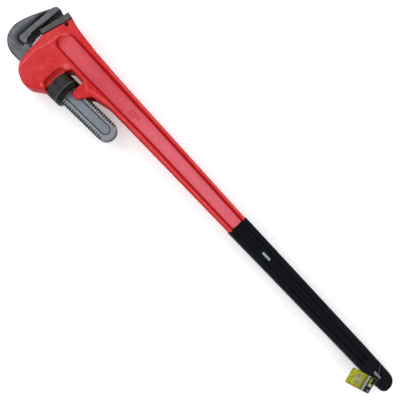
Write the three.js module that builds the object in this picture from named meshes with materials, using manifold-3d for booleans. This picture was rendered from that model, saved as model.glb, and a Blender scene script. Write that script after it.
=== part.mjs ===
// A 48-inch straight pipe wrench, lying on its side with the jaws closed.
//
// It is laid out in millimetres in its own plane. x runs from the back of the hook jaw (0) to the
// end of the grip, y runs across the handle towards the tips of the jaws, and z is the height over
// the middle plane. The last group moves the origin to the bottom centre of the whole wrench.

import * as THREE from 'three';
import { mergeVertices } from 'three/addons/utils/BufferGeometryUtils.js';
import Module from 'manifold-3d';

const wasm = await Module();
wasm.setup();

// ---- Driving dimensions ------------------------------------------------------------------------

const LENGTH = 1217; // over all, from the hook jaw's back to the grip's end
const LOW_SIDE = -142; // y of the housing's round outer wall
const HIGH_SIDE = 48; // y of the heel jaw's tip

const HEAD_HALF = 25; // half thickness of the housing
const HANDLE_HALF = 16; // half thickness of the handle's flanges
const WEB_HALF = 6; // half thickness of the handle's web
const JAW_HALF = 17; // half thickness of the hook jaw and its shank
const BLOCK_HALF = 19; // half thickness of the hook jaw's toothed block
const HEEL_HALF = 21; // half thickness of the heel jaw
const SLOT_HALF = 17.5; // half width of the housing's slot, in which the shank slides
const GAP = 0.3; // between pieces that touch

const TOOTH_PITCH = 6.8; // jaw teeth
const TOOTH_DEPTH = 3;
const HEEL_TOOTH_DEPTH = 2.5;

const SHANK_TILT = THREE.MathUtils.degToRad(3); // shank to handle
const SHANK_POINT = { x: 290, y: -76.4 }; // a point on the shank's axis
const SHANK_END = 348;
const THREAD = { pitch: 6.9, crest: 26.7, root: 23.2, start: 148, end: 333, sides: 18 };
const NUT_THREAD_PLAY = 0.55; // between the nut's thread and the shank's

const NUT = { radius: 35.5, front: 164, back: 205.6, bevel: 3.4, edge: 1.2 };
const WINDOW = { front: 161.5, back: 207.2, top: -38.5 }; // the housing's opening for the nut

const SEAT = { x: 61.7, y: -33.5, length: 80.7, angle: THREE.MathUtils.degToRad(78.2) };
const TENON = { low: 14, high: 74, depth: 20, half: 10 };
const HEEL_PIN = { x: 81.4, y: 25.1, radius: 4, bore: 2.5, half: 24.4, slit: 1.4 };

const COIL = { x: 105, foot: -133.4, head: -115.7, radius: 6, wire: 1.1, turns: 5 };
const COIL_POCKET = { radius: 7.7, high: 20 };
const LEAF = { from: 76, to: 138, thick: 2, half: 12 };

const COAT = 1.5; // how far the grip stands proud of the handle
const GRIP_START = 694;
const HANG_HOLE = { x: 1176, y: 5, radius: 10.7 };

const TAG = { long: 62, short: 41, thick: 0.6, corner: 2.5, holeRadius: 3.2, holeInset: 6 };
const TAG_HOLE = { x: 1178.4, y: -24.5, z: 16.6 };
const TAG_TURN = THREE.MathUtils.degToRad(20);
const TAG_LEAN = THREE.MathUtils.degToRad(12);
const TIE = { width: 3.6, thick: 1.2, headLength: 20, headWidth: 5, headHeight: 4.4, tailWidth: 2.6 };

// ---- Materials ---------------------------------------------------------------------------------

const paint = new THREE.MeshStandardMaterial({ color: 0xc8282c, roughness: 0.38, metalness: 0.0 });
const forged = new THREE.MeshStandardMaterial({ color: 0x7c8087, roughness: 0.5, metalness: 0.85 });
const heelSteel = new THREE.MeshStandardMaterial({ color: 0x62665f, roughness: 0.55, metalness: 0.8 });
const blackened = new THREE.MeshStandardMaterial({ color: 0x2d2d2e, roughness: 0.5, metalness: 0.8 });
const spring = new THREE.MeshStandardMaterial({ color: 0x8b8d90, roughness: 0.35, metalness: 1.0 });
const vinyl = new THREE.MeshStandardMaterial({ color: 0x16191c, roughness: 0.45, metalness: 0.0 });
const card = new THREE.MeshStandardMaterial({ color: 0xdcd83a, roughness: 0.6, metalness: 0.0 });
const nylon = new THREE.MeshStandardMaterial({ color: 0xc9ccd0, roughness: 0.4, metalness: 0.0 });

// ---- Solids ------------------------------------------------------------------------------------

/** A manifold solid from a closed geometry. */
function solid(geometry) {
  const bare = geometry.clone();
  bare.deleteAttribute('normal');
  bare.deleteAttribute('uv');
  const merged = mergeVertices(bare, 1e-4);
  return new wasm.Manifold(new wasm.Mesh({
    numProp: 3,
    vertProperties: new Float32Array(merged.attributes.position.array),
    triVerts: new Uint32Array(merged.index.array),
  }));
}

/** A named mesh of a manifold solid. */
function mesh(name, body, material) {
  const cut = body.getMesh();
  const geometry = new THREE.BufferGeometry();
  geometry.setAttribute('position', new THREE.BufferAttribute(cut.vertProperties, 3));
  geometry.setIndex(new THREE.BufferAttribute(cut.triVerts, 1));
  const result = new THREE.Mesh(geometry, material);
  result.name = name;
  return result;
}

/** The points of a closed outline whose corners [x, y, radius] are rounded where they say so. */
function rounded(corners, stepAngle = Math.PI / 10) {
  const points = [];
  corners.forEach(([x, y, radius = 0], i) => {
    const corner = new THREE.Vector2(x, y);
    if (radius === 0) {
      points.push(corner);
      return;
    }
    const [beforeX, beforeY] = corners.at(i - 1);
    const [afterX, afterY] = corners[(i + 1) % corners.length];
    const back = new THREE.Vector2(beforeX, beforeY).sub(corner).normalize();
    const on = new THREE.Vector2(afterX, afterY).sub(corner).normalize();
    const half = Math.acos(back.dot(on)) / 2;
    const middle = back.clone().add(on).normalize();
    const centre = corner.clone().addScaledVector(middle, radius / Math.sin(half));
    const first = corner.clone().addScaledVector(back, radius / Math.tan(half)).sub(centre);
    const turn = (Math.PI - 2 * half) * Math.sign(on.cross(back));
    const steps = Math.max(2, Math.ceil(Math.abs(turn) / stepAngle));
    for (let k = 0; k <= steps; k += 1) {
      const spoke = first.clone().rotateAround(new THREE.Vector2(), turn * k / steps);
      points.push(spoke.add(centre));
    }
  });
  return points;
}

/** A plate of an outline, standing from one height to another. */
function plate(points, low, high) {
  const shape = points instanceof THREE.Shape ? points : new THREE.Shape(points);
  const geometry = new THREE.ExtrudeGeometry(shape, { depth: high - low, bevelEnabled: false });
  return solid(geometry.translate(0, 0, low));
}

/** A plate that reaches as far over the middle plane as under it. */
function midPlate(points, half) {
  return plate(points, -half, half);
}

/** The same cut at a piece's top face and, mirrored, at its bottom face. */
function bothFaces(body, cutter) {
  const { vertProperties, triVerts } = cutter.getMesh();
  const positions = vertProperties.map((value, i) => (i % 3 === 2 ? -value : value));
  const insideOut = triVerts.map((corner, i) => triVerts[i - (i % 3) + [0, 2, 1][i % 3]]);
  const mirrored = new wasm.Mesh({ numProp: 3, vertProperties: positions, triVerts: insideOut });
  return body.subtract(cutter).subtract(new wasm.Manifold(mirrored));
}

/** A box between two corners. */
function box(low, high) {
  const size = high.map((value, i) => value - low[i]);
  const middle = high.map((value, i) => (value + low[i]) / 2);
  return solid(new THREE.BoxGeometry(...size).translate(...middle));
}

/** An upright round rod. */
function rod(x, y, radius, low, high, sides = 24) {
  const geometry = new THREE.CylinderGeometry(radius, radius, high - low, sides);
  return solid(geometry.rotateX(Math.PI / 2).translate(x, y, (high + low) / 2));
}

/** A plate of a side view, [x, z] points, that reaches across the whole wrench. */
function sidePlate(points) {
  const reach = 250;
  const shape = new THREE.Shape(points.map(([x, z]) => new THREE.Vector2(x, -z)));
  const geometry = new THREE.ExtrudeGeometry(shape, { depth: 2 * reach, bevelEnabled: false });
  return solid(geometry.translate(0, 0, -reach).rotateX(-Math.PI / 2));
}

// ---- The shank's axis --------------------------------------------------------------------------

/** y of the shank's axis at x. */
function shankAxis(x) {
  return SHANK_POINT.y + Math.tan(SHANK_TILT) * (x - SHANK_POINT.x);
}

/** Lays a geometry made along +X at x onto the shank's axis. */
function alongShank(geometry) {
  geometry.translate(-SHANK_POINT.x, 0, 0);
  geometry.rotateZ(SHANK_TILT);
  return geometry.translate(SHANK_POINT.x, SHANK_POINT.y, 0);
}

/** A point at x on a line beside the shank's axis. */
function besideShank(x, offset) {
  return new THREE.Vector2(x, shankAxis(x) + offset / Math.cos(SHANK_TILT));
}

/** A round body along the shank, from [x, radius] points. */
function shankLathe(profile, sides = 24) {
  const points = profile.map(([x, radius]) => new THREE.Vector2(radius, x));
  const geometry = new THREE.LatheGeometry(points, sides);
  return solid(alongShank(geometry.rotateZ(-Math.PI / 2)));
}

/**
 * A right-handed screw along the shank. Its profile is crest, flank, root and flank, and play
 * makes the same screw larger all round, which cuts the nut's thread.
 */
function screw(from, to, play) {
  const { pitch, crest, root, sides } = THREAD;
  const profile = [
    [-play, crest + play], [0.32 * pitch + play, crest + play],
    [0.48 * pitch + play, root + play], [0.84 * pitch - play, root + play],
  ];
  const corners = profile.length;
  const first = THREAD.start + pitch * Math.floor((from - THREAD.start) / pitch);
  const turns = Math.ceil((to - first) / pitch) + 1;
  const last = turns * corners;
  const positions = [];
  const at = (side, step) => {
    const stepOn = side === sides ? step + corners : step;
    return (side % sides) * (last + corners + 1) + stepOn;
  };
  for (let side = 0; side < sides; side += 1) {
    const angle = 2 * Math.PI * side / sides;
    for (let step = 0; step <= last + corners; step += 1) {
      const [along, radius] = profile[step % corners];
      const x = first + along + pitch * (Math.floor(step / corners) - 1 + side / sides);
      positions.push(x, radius * Math.cos(angle), radius * Math.sin(angle));
    }
  }
  const firstHub = positions.length / 3;
  positions.push(first - pitch, 0, 0, first + turns * pitch, 0, 0);
  const index = [];
  for (let side = 0; side < sides; side += 1) {
    for (let step = 0; step < last; step += 1) {
      const here = at(side, step);
      const across = at(side + 1, step + 1);
      index.push(here, across, at(side, step + 1));
      index.push(here, at(side + 1, step), across);
    }
    index.push(at(side + 1, 0), at(side, 0), firstHub);
    index.push(at(side, last), at(side + 1, last), firstHub + 1);
  }
  for (let step = 0; step < corners; step += 1) {
    index.push(at(0, step), at(0, step + 1), firstHub);
    index.push(at(0, last + step + 1), at(0, last + step), firstHub + 1);
  }
  const geometry = new THREE.BufferGeometry();
  geometry.setAttribute('position', new THREE.Float32BufferAttribute(positions, 3));
  geometry.setIndex(index);
  const length = new THREE.BoxGeometry(to - from, 120, 120).translate((from + to) / 2, 0, 0);
  return solid(alongShank(geometry)).intersect(solid(alongShank(length)));
}

// ---- Handle and housing ------------------------------------------------------------------------

/** The stem's outline from a place on its length to its round end, grown by an offset. */
function stemOutline(start, offset) {
  const end = LENGTH - COAT + offset;
  const lower = -25 + 0.025 * (start - 690);
  return rounded([
    [start, 27.3 + offset],
    [start, lower - offset],
    [850, -21 - offset],
    [1100, -15.6 - offset],
    [end, -13.2 - offset, 14.5 + offset],
    [end, 27.4 + offset, 23 + offset],
    [1100, 28.6 + offset],
  ]);
}

/** One channel of the handle's I section: it cuts the top face down to the web. */
function channel(offset) {
  const outline = rounded([
    [89.5 + offset, -26.6 + offset, 20],
    [200, -26.3 + offset],
    [400, -18.5 + offset],
    [690, -15 + offset],
    [1140 - offset, -6.5 + offset, 9],
    [1140 - offset, 16.5 - offset, 9],
    [690, 18.8 - offset],
    [400, 20.6 - offset],
    [89.5 + offset, 19.5 - offset, 21],
  ]);
  const web = WEB_HALF + offset;
  const above = HEAD_HALF + 10;
  const floor = sidePlate([
    [60, 17], [60, above], [LENGTH, above], [LENGTH, web], [330, web], [130, 15],
  ]);
  return plate(outline, 0, above).intersect(floor);
}

/** How thick the casting is along its length: the housing's cheeks run down into the flanges. */
function castingThickness(offset) {
  const stem = HANDLE_HALF + offset;
  const right = LENGTH + 10;
  return sidePlate([
    [0, -HEAD_HALF], [235, -HEAD_HALF], [350, -stem], [right, -stem],
    [right, stem], [350, stem], [235, HEAD_HALF], [0, HEAD_HALF],
  ]);
}

/** The stem under the grip, grown all over by an offset. */
function stem(start, offset) {
  const hole = rod(HANG_HOLE.x, HANG_HOLE.y, HANG_HOLE.radius - offset, -HEAD_HALF, HEAD_HALF);
  const bar = midPlate(stemOutline(start, offset), HEAD_HALF).intersect(castingThickness(offset));
  return bothFaces(bar, channel(offset)).subtract(hole);
}

/** The outline of the housing, its lug and the bare handle. */
function headOutline() {
  const bareEnd = 700;
  return rounded([
    [SEAT.x, SEAT.y],
    [66.8, -70, 80],
    [73, -113.5, 40],
    [90, -131.5, 30],
    [112, -141.4, 30],
    [119, LOW_SIDE],
    [130, LOW_SIDE, 24],
    [WINDOW.front, -115.8, 2],
    [WINDOW.front, WINDOW.top],
    [WINDOW.back, WINDOW.top],
    [WINDOW.back, -78, 11.5],
    [229, -78, 13],
    [247, -46, 20],
    [291, -34.4, 60],
    [690, -25],
    [bareEnd, -24.8],
    [bareEnd, 27.3],
    [690, 27.3],
    [400, 30],
    [260, 30.7],
    [178, 33],
    [128, 37],
    [103.4, 39.5],
    [78.2, 45.5],
  ]);
}

/** The slot through the housing, and through its lug, in which the hook jaw's shank slides. */
function shankSlot() {
  const inHousing = midPlate([
    new THREE.Vector2(40, shankAxis(40) + 29.5),
    new THREE.Vector2(40, -122.5),
    new THREE.Vector2(132, -122.5),
    new THREE.Vector2(145, -114.2),
    new THREE.Vector2(WINDOW.front + 1, -113.6),
    new THREE.Vector2(WINDOW.front + 1, shankAxis(WINDOW.front) + 29.5),
  ], SLOT_HALF);
  const inLug = midPlate([
    new THREE.Vector2(WINDOW.back - 1, -46),
    new THREE.Vector2(WINDOW.back - 1, -100),
    new THREE.Vector2(280, -100),
    new THREE.Vector2(280, -41.5),
  ], SLOT_HALF);
  return inHousing.add(inLug);
}

/** A point on the heel jaw's seat: how far behind it, and how far up it from its foot. */
function onSeat(behind, up) {
  return new THREE.Vector2(behind, up)
    .rotateAround(new THREE.Vector2(), SEAT.angle - Math.PI / 2)
    .add(new THREE.Vector2(SEAT.x, SEAT.y));
}

/** The heel jaw's tenon, or the mortise for it when there is play round it. */
function tenon(play) {
  const outline = [
    onSeat(-8, TENON.low - play), onSeat(TENON.depth + play, TENON.low - play),
    onSeat(TENON.depth + play, TENON.high + play), onSeat(-8, TENON.high + play),
  ];
  return midPlate(outline, TENON.half + play);
}

/** The shallow finger relief round the nut, in one cheek of the housing. */
function nutRelief() {
  const floor = 20;
  const outline = rounded([
    [WINDOW.front + 1, -51], [153, -51, 3], [147.5, -70, 14], [147, -96, 14], [152, -111, 3],
    [WINDOW.front + 1, -111],
  ]);
  return plate(outline, floor, HEAD_HALF + 1);
}

/** Raised pads on the web, where a casting carries its size mark, left blank. */
function castMarks() {
  const foot = WEB_HALF - 2;
  const padTop = WEB_HALF + 1;
  const pipTop = WEB_HALF + 1.8;
  const padOutline = rounded([[320, -12, 4], [364, -12, 4], [364, 9, 4], [320, 9, 4]]);
  const pad = plate(padOutline, foot, padTop);
  const pips = [290, 306].map((x) => rod(x, 3, 4.5, foot, pipTop, 12));
  return pips.reduce((all, pip) => all.add(pip), pad);
}

/** The bore for the heel jaw's pin, through the housing and the jaw's tenon. */
function pinBore() {
  return rod(HEEL_PIN.x, HEEL_PIN.y, HEEL_PIN.radius + GAP, -HEAD_HALF - 1, HEAD_HALF + 1);
}

function handleBody() {
  const casting = midPlate(headOutline(), HEAD_HALF).intersect(castingThickness(0));
  const { radius, high } = COIL_POCKET;
  const pocket = new THREE.CylinderGeometry(radius, radius, high, 24);
  const coilPocket = solid(pocket.translate(COIL.x, COIL.foot - GAP + high / 2, 0));
  const body = bothFaces(bothFaces(casting, channel(0)), nutRelief())
    .subtract(shankSlot())
    .subtract(coilPocket)
    .subtract(tenon(GAP))
    .subtract(pinBore())
    .add(stem(695, 0))
    .add(castMarks());
  return mesh('handle_body', body, paint);
}

function grip() {
  const coat = stem(GRIP_START, COAT).subtract(stem(GRIP_START - 40, GAP));
  return mesh('grip', coat, vinyl);
}

// ---- Jaws --------------------------------------------------------------------------------------

/** Teeth along a straight jaw face. Their roots lie to the left of the way from start to end. */
function toothedFace(start, end, pitch, depth) {
  const along = end.clone().sub(start);
  const count = Math.floor(along.length() / pitch);
  along.normalize();
  const inward = new THREE.Vector2(-along.y, along.x).multiplyScalar(depth);
  const points = [start.clone()];
  for (let tooth = 0; tooth < count; tooth += 1) {
    const root = start.clone().addScaledVector(along, pitch * (tooth + 0.72)).add(inward);
    const tip = start.clone().addScaledVector(along, pitch * (tooth + 1));
    points.push(root, tip);
  }
  points.push(end.clone());
  return points;
}

/** The hook jaw's back, one smooth curve from the neck round to the tip. */
function hookBack() {
  const through = [
    [58, -112.6], [44, -113.4], [24, -107], [7, -90.5], [0, -65], [4, -37.5], [14, -7.5], [27, 24],
  ];
  return new THREE.SplineCurve(through.map(([x, y]) => new THREE.Vector2(x, y))).getPoints(28);
}

function hookJaw() {
  const faceTop = new THREE.Vector2(46.2, 38.6);
  const faceFoot = new THREE.Vector2(45.6, -52);
  const tip = rounded([[27, 24], [33, 38.6, 8], [46.2, 38.6]]).slice(1, -1);
  const throat = rounded([[45.6, -52], [45.8, -70.6, 15], [72, -70.6, 20], [100, -64.5]]).slice(1);
  const hook = [
    ...hookBack(),
    ...tip,
    ...toothedFace(faceTop, faceFoot, TOOTH_PITCH, -TOOTH_DEPTH),
    ...throat,
    besideShank(130, 22.5),
    besideShank(130, -22.5),
    besideShank(100, -24.5),
  ];
  const block = rounded([
    [28, 60], [28, -79, 9], [52, -79, 9], [54, -66], [54, 60],
  ]);
  const blockArea = midPlate(hook, BLOCK_HALF).intersect(midPlate(block, BLOCK_HALF));
  const crescentFloor = 12.5;
  const crescent = rounded([
    [28, 18], [19, -8], [14.5, -45, 60], [17, -80, 20], [36, -93, 18], [53, -83, 2.5], [46, -79.6],
    [28, -79.6, 9.6],
  ]);

  const shankPlan = [
    besideShank(110, 30), besideShank(110, -30), besideShank(322, -30),
    ...rounded([[322, -105], [SHANK_END, -105, 27], [SHANK_END, -46, 27], [322, -46]]).slice(1, -1),
    besideShank(322, 30),
  ];
  const { start, end, crest } = THREAD;
  const neck = 24;
  const plainEnd = shankLathe([[end, 0], [end, crest], [370, crest], [370, 0]]);
  const plainStart = shankLathe([[110, 0], [110, neck], [start, neck], [start, 0]]);
  const shank = screw(start - 1, end + 1, 0)
    .add(plainEnd)
    .add(plainStart)
    .intersect(midPlate(shankPlan, JAW_HALF));

  const body = bothFaces(midPlate(hook, JAW_HALF), plate(crescent, crescentFloor, JAW_HALF + 1))
    .add(blockArea)
    .add(shank);
  return mesh('hook_jaw', bothFaces(body, panelGroove()), forged);
}

/** The groove round the shank's sunk panel, in one face. */
function panelGroove() {
  const line = (half) => {
    const bend = half * 0.98;
    const [left, right] = [128 - half, 323.5 + half];
    return rounded([
      [left, -half, bend], [right, -half, bend], [right, half, bend], [left, half, bend],
    ]).map((point) => besideShank(point.x, point.y));
  };
  const ring = new THREE.Shape(line(11.6));
  ring.holes.push(new THREE.Path(line(10)));
  return plate(ring, JAW_HALF - 1, JAW_HALF + 1);
}

function heelJaw() {
  const faceTop = new THREE.Vector2(62.2, HIGH_SIDE);
  const faceFoot = new THREE.Vector2(48.6, -29.3);
  const outline = [
    onSeat(-GAP, 0.8),
    onSeat(-GAP, SEAT.length),
    ...toothedFace(faceTop, faceFoot, TOOTH_PITCH, HEEL_TOOTH_DEPTH),
  ];
  const body = midPlate(outline, HEEL_HALF).add(tenon(0)).subtract(pinBore());
  return mesh('heel_jaw', body, heelSteel);
}

/** A rolled spring pin: a tube with a slit along it. */
function heelPin() {
  const { x, y, radius, bore, half, slit } = HEEL_PIN;
  const slitAngle = slit / radius / 2;
  const shape = new THREE.Shape();
  shape.absarc(x, y, radius, slitAngle, 2 * Math.PI - slitAngle, false);
  shape.absarc(x, y, bore, 2 * Math.PI - slitAngle, slitAngle, true);
  return mesh('heel_jaw_pin', midPlate(shape.getPoints(18), half), spring);
}

// ---- Adjusting nut and springs -----------------------------------------------------------------

function adjustingNut() {
  const { radius, front, back, bevel, edge } = NUT;
  const blank = shankLathe([
    [front, 0], [front, radius - edge], [front + edge, radius], [back - bevel, radius],
    [back, radius - bevel], [back, 0],
  ], 48);
  const thread = screw(front - 8, back + 8, NUT_THREAD_PLAY);
  return mesh('adjusting_nut', blank.subtract(thread), blackened);
}

/** The coil spring in the housing's outer wall, which pushes on the leaf spring. */
function coilSpring() {
  const { x, foot, head, radius, wire, turns } = COIL;
  class Helix extends THREE.Curve {
    getPoint(t, target = new THREE.Vector3()) {
      const angle = 2 * Math.PI * turns * t;
      const height = THREE.MathUtils.lerp(foot + wire, head - wire, t);
      return target.set(x + radius * Math.cos(angle), height, radius * Math.sin(angle));
    }
  }
  const section = new THREE.Shape().absarc(0, 0, wire, 0, 2 * Math.PI, false);
  const round = new THREE.Shape(section.getPoints(4).slice(0, -1));
  const geometry = new THREE.ExtrudeGeometry(round, {
    steps: 12 * turns,
    bevelEnabled: false,
    extrudePath: new Helix(),
  });
  return mesh('coil_spring', solid(geometry), spring);
}

/** The leaf spring between the coil spring and the shank. */
function leafSpring() {
  const near = THREAD.crest + 0.5;
  const outline = [
    besideShank(LEAF.from, -near), besideShank(LEAF.from, -near - LEAF.thick),
    besideShank(LEAF.to, -near - LEAF.thick), besideShank(LEAF.to, -near),
  ];
  return mesh('leaf_spring', midPlate(outline, LEAF.half), spring);
}

// ---- Tag and tie -------------------------------------------------------------------------------

function hangTag() {
  const { long, short, thick, corner, holeRadius, holeInset } = TAG;
  const right = holeInset;
  const left = right - long;
  const half = short / 2;
  const shape = new THREE.Shape(rounded([
    [left, -half, corner], [right, -half, corner], [right, half, corner], [left, half, corner],
  ]));
  const hole = new THREE.Path().absarc(0, 0, holeRadius, 0, 2 * Math.PI);
  shape.holes.push(new THREE.Path(hole.getPoints(8)));
  const result = mesh('hang_tag', plate(shape, -thick / 2, thick / 2), card);
  result.position.set(TAG_HOLE.x, TAG_HOLE.y, TAG_HOLE.z);
  result.rotation.set(TAG_LEAN, 0, TAG_TURN, 'ZYX');
  return result;
}

/** A flat strap of one width and thickness along a route. */
function strap(route, width, thick, steps) {
  const across = width / 2;
  const up = thick / 2;
  const section = new THREE.Shape([
    new THREE.Vector2(-across, -up), new THREE.Vector2(across, -up),
    new THREE.Vector2(across, up), new THREE.Vector2(-across, up),
  ]);
  const extrudePath = new THREE.CatmullRomCurve3(route.map((point) => new THREE.Vector3(...point)));
  return solid(new THREE.ExtrudeGeometry(section, { steps, bevelEnabled: false, extrudePath }));
}

/** The nylon tie: a head, a loop through the hang hole and the tag, and a loose tail. */
function tagTie() {
  const { width, thick, headLength, headWidth, headHeight, tailWidth } = TIE;
  const headLow = HANDLE_HALF + COAT + GAP;
  const headMiddle = headLow + headHeight / 2;
  const headEnd = TAG_HOLE.x + 2.4;
  const headSide = 1.4;
  const head = box(
    [headEnd - headLength, headSide, headLow],
    [headEnd, headSide + headWidth, headLow + headHeight],
  );
  const loopRoute = [
    [3, headMiddle], [-1, 22], [-6, 22.4], [-14, 20.8], [-21, 19], [-24.6, 15.5], [-25, 9],
    [-23, -1], [-19.5, -11], [-17, -17.6], [-13, -19.8], [-7, -20], [-3.2, -19.9], [-1.8, -17.6],
    [-1.8, -10], [-1.8, 8], [-1.2, 15], [2.6, headMiddle - 0.4],
  ];
  const loop = strap(loopRoute.map(([y, z]) => [TAG_HOLE.x, y, z]), width, thick, 48);
  const tail = strap([
    [1176, 4, headMiddle], [1169, 11, 20.4], [1161, 21, 19.8], [1155, 28.4, 20],
    [1151.4, 32.4, 16], [1150, 33.4, 8],
  ], thick, tailWidth, 16);
  return mesh('tag_tie', head.add(loop).add(tail), nylon);
}

// ---- The wrench --------------------------------------------------------------------------------

const wrench = new THREE.Group();
wrench.add(
  handleBody(), grip(), heelJaw(), heelPin(), coilSpring(), leafSpring(), hookJaw(),
  adjustingNut(), hangTag(), tagTie(),
);
wrench.position.set(-LENGTH / 2, -(LOW_SIDE + HIGH_SIDE) / 2, NUT.radius);

export default wrench;
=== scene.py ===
"""A 48 inch straight pipe wrench lying on a pale floor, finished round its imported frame.

Shapes are worked in millimetres in the wrench's own plane, as in the CAD source: x from the hook
jaw's back to the grip's end, y across the handle towards the jaw tips, z over the middle plane.
Castings, jaws, nut and grip are signed distance fields, turned into meshes by surface nets.
"""

import math

import bpy
import numpy as np
from mathutils import Matrix, Vector


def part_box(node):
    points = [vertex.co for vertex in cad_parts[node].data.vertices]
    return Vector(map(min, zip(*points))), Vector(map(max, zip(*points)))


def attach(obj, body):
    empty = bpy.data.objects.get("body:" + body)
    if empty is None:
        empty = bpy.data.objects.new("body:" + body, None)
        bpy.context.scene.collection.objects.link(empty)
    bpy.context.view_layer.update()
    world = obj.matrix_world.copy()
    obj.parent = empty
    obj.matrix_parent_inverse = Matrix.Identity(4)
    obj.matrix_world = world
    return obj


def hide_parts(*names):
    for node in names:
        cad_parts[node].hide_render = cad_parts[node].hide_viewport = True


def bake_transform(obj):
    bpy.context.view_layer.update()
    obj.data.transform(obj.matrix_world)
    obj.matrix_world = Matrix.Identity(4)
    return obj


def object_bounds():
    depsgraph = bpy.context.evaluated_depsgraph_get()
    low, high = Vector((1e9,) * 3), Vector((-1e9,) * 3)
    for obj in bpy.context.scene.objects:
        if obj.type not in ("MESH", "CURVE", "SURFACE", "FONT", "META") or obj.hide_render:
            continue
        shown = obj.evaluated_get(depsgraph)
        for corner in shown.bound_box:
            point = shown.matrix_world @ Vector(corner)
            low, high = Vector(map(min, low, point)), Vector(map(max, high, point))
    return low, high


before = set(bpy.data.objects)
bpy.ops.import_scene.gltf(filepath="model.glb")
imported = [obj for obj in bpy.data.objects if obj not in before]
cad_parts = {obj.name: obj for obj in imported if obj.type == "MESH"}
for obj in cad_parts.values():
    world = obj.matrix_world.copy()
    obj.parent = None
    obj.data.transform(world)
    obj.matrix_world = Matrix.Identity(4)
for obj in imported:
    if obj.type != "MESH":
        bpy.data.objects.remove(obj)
cad_low, cad_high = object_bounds()

# ---- Sizes, in millimetres ----

LOW_SIDE = -142  # y of the housing's round outer wall
NUT_RADIUS = 35.5
LENGTH = (cad_high.x - cad_low.x) * 1000

HEAD_HALF, HANDLE_HALF, WEB_HALF = 25, 16, 6
JAW_HALF, BLOCK_HALF, HEEL_HALF, SLOT_HALF = 17, 19, 21, 17.5
WINDOW = {"front": 162.8, "back": 207.2, "top": -38.5}
SHANK_TILT = math.radians(3)
SHANK_POINT = (290, -76.4)
THREAD = {"pitch": 6.9, "crest": 26.7, "root": 23.2, "start": 148, "end": 333}
NUT = {"front": 164, "back": 205.6, "bevel": 3.4, "edge": 1.2, "play": 0.55}
SEAT_FOOT, SEAT_ANGLE, SEAT_LENGTH = (61.7, -33.5), math.radians(78.2), 80.7
PIN = {"x": 81.4, "y": 25.1, "bore": 4.3, "radius": 4, "hole": 2.5, "half": 24.4, "slit": 1.4}
COIL = {"x": 105, "foot": -133.7, "top": -112, "bore": 7.7, "radius": 6, "turns": 5}
POCKET_WALL = 2.6  # the least wall that the coil's pocket leaves in the housing
LEAF = {"from": 76, "to": 138, "near": 27.2, "thick": 2, "half": 12}
COAT = 1.5
GRIP_START = 694
HANG_HOLE = (1176, 5, 10.7)
TAG = {"long": 62, "short": 41, "thick": 0.6, "corner": 2.5, "hole": 3.2, "inset": 6}
TAG_HOLE = (1178.4, -24.5, 16.6)
TAG_TURN, TAG_LEAN = math.radians(20), math.radians(12)
TIE = {
    "width": 2.8, "thick": 1, "tail_width": 2.6, "tooth": 1.3, "head_x": 1170.8, "head_y": 3.9,
    "head_z": 20, "head_long": 20, "head_wide": 5, "head_high": 4.4,
}
TOOTH_PITCH = 6.8


def row(points):
    """Points in the wrench's millimetres as points in the row frame, in metres."""
    origin = (cad_low.x, cad_low.y - LOW_SIDE / 1000, cad_low.z + NUT_RADIUS / 1000)
    return np.asarray(points, float) / 1000 + origin


# ---- Camera ----

PHOTO_TURN = math.radians(47.256)  # of the picture's right edge from the handle's length
EYE = Vector((-0.0163, -0.063, 1.2025))
AIM = Vector((-0.0163, 0.0237, 0.0525))
SEEN_WIDTH = 0.9311  # what the picture takes in at the aim's distance, in metres

camera_data = bpy.data.cameras.new("camera")
camera = bpy.data.objects.new("camera", camera_data)
bpy.context.scene.collection.objects.link(camera)
forward = (AIM - EYE).normalized()
up = Vector((-math.sin(PHOTO_TURN), math.cos(PHOTO_TURN), 0))
right = forward.cross(up).normalized()
up = right.cross(forward)
camera.matrix_world = Matrix.Translation(EYE) @ Matrix((right, up, -forward)).transposed().to_4x4()
camera_data.sensor_width = 36
camera_data.lens = camera_data.sensor_width * (AIM - EYE).length / SEEN_WIDTH
bpy.context.scene.camera = camera

# ---- Distance fields ----


def turned(x, y, angle):
    c, s = math.cos(angle), math.sin(angle)
    return c * x - s * y, s * x + c * y


def rounded(corners, step=math.radians(15)):
    """The points of a closed outline whose corners (x, y, radius) are rounded."""
    points = []
    for i, (x, y, *radius) in enumerate(corners):
        corner = np.array((x, y), float)
        if not radius:
            points.append(corner)
            continue
        back = np.array(corners[i - 1][:2], float) - corner
        on = np.array(corners[(i + 1) % len(corners)][:2], float) - corner
        back /= np.linalg.norm(back)
        on /= np.linalg.norm(on)
        half = math.acos(float(back @ on)) / 2
        middle = (back + on) / np.linalg.norm(back + on)
        centre = corner + middle * radius[0] / math.sin(half)
        first = corner + back * radius[0] / math.tan(half) - centre
        turn = (math.pi - 2 * half) * math.copysign(1, on[0] * back[1] - on[1] * back[0])
        steps = max(2, math.ceil(abs(turn) / step))
        points.extend(centre + turned(*first, turn * k / steps) for k in range(steps + 1))
    return np.array(points)


def spline(points, steps):
    """Points on a smooth curve through the points given."""
    p = np.array(points, float)
    p = np.vstack([p[:1], p, p[-1:]])
    out = []
    for t in np.linspace(0, len(points) - 1, steps + 1):
        i = min(int(t), len(points) - 2)
        w = t - i
        a, b, c, d = p[i : i + 4]
        slope, next_slope = (c - a) / 2, (d - b) / 2
        bend = (2 * b - 2 * c + slope + next_slope) * w**3
        out.append(bend + (3 * c - 3 * b - 2 * slope - next_slope) * w**2 + slope * w + b)
    return np.array(out)


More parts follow.
